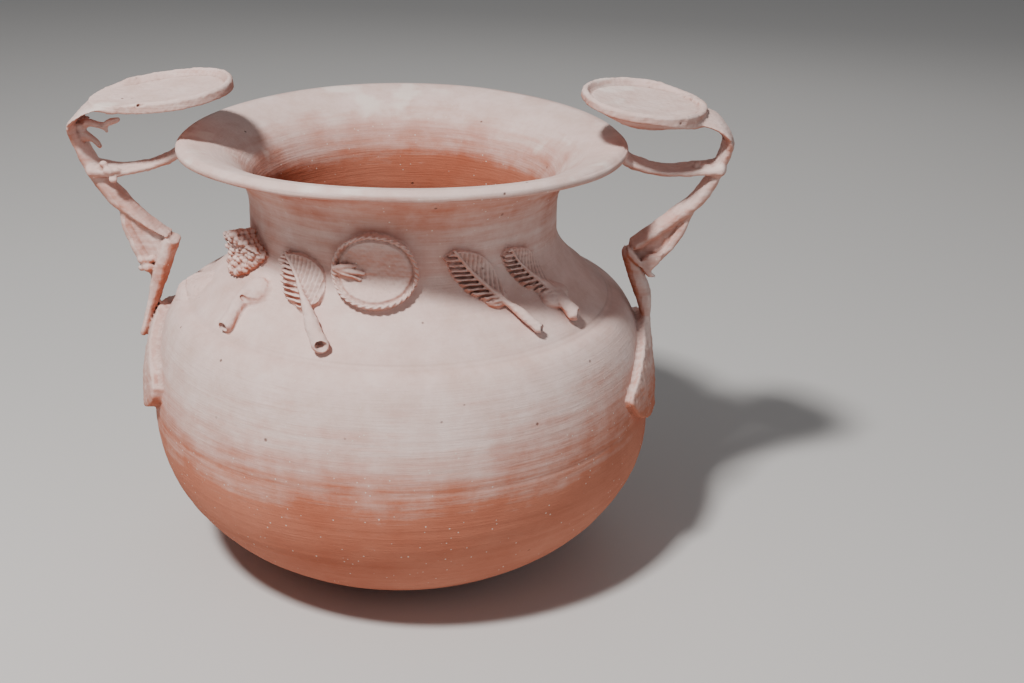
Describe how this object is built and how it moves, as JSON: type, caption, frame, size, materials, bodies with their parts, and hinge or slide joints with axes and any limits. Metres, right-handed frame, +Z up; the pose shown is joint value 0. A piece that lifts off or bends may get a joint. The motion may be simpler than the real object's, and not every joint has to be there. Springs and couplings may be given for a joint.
{
  "type": "terracotta vase",
  "caption": "Wide hollow two-handled terracotta krater with a trumpet rim and saucers on kinked strap handles.",
  "frame": {"origin": "centre of the foot's underside", "axes": "+Z up along the vase's axis, the front faces -Y, the handles are on X"},
  "size_m": [0.6682, 0.5272, 0.5062],
  "materials": {
    "terracotta": "dusty matt"
  },
  "bodies": {
    "root": {"vase": "terracotta"}
  },
  "joints": []
}
